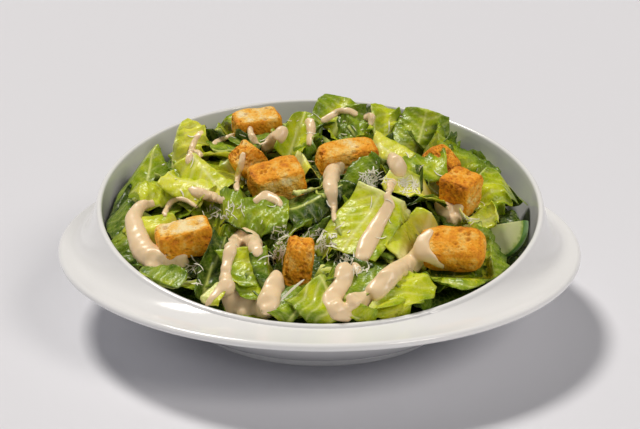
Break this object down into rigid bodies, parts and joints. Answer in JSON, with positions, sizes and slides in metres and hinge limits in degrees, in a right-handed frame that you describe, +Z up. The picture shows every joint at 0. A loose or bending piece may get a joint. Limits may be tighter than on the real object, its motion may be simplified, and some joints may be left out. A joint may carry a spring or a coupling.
{
  "type": "caesar salad",
  "caption": "Caesar salad heaped in a wide-brimmed white porcelain bowl with a slanted mouth: romaine, croutons, a cucumber slice, dressing and parmesan.",
  "frame": {"origin": "centre of the foot ring, on the surface that the bowl stands on", "axes": "+Z up; -Y towards the diner, where the lip lies level with the brim; +Y to the back, where the lip rises; +X to the right seen from the front"},
  "size_m": [0.27, 0.27, 0.0922],
  "materials": {
    "porcelain": "glossy white glaze",
    "romaine": "fresh crinkled leaf, damp sheen",
    "crouton": "toasted open-pored bread",
    "cucumber": "wet pale flesh with green skin",
    "dressing": "thick creamy dressing, glossy",
    "parmesan": "fine pale shreds of cheese"
  },
  "bodies": {
    "root": {"bowl": "porcelain", "salad_heap": "romaine", "crouton_1": "crouton", "crouton_2": "crouton", "crouton_3": "crouton", "crouton_4": "crouton", "crouton_5": "crouton", "crouton_6": "crouton", "crouton_7": "crouton", "crouton_8": "crouton", "crouton_9": "crouton", "cucumber_slice": "cucumber"}
  },
  "joints": []
}
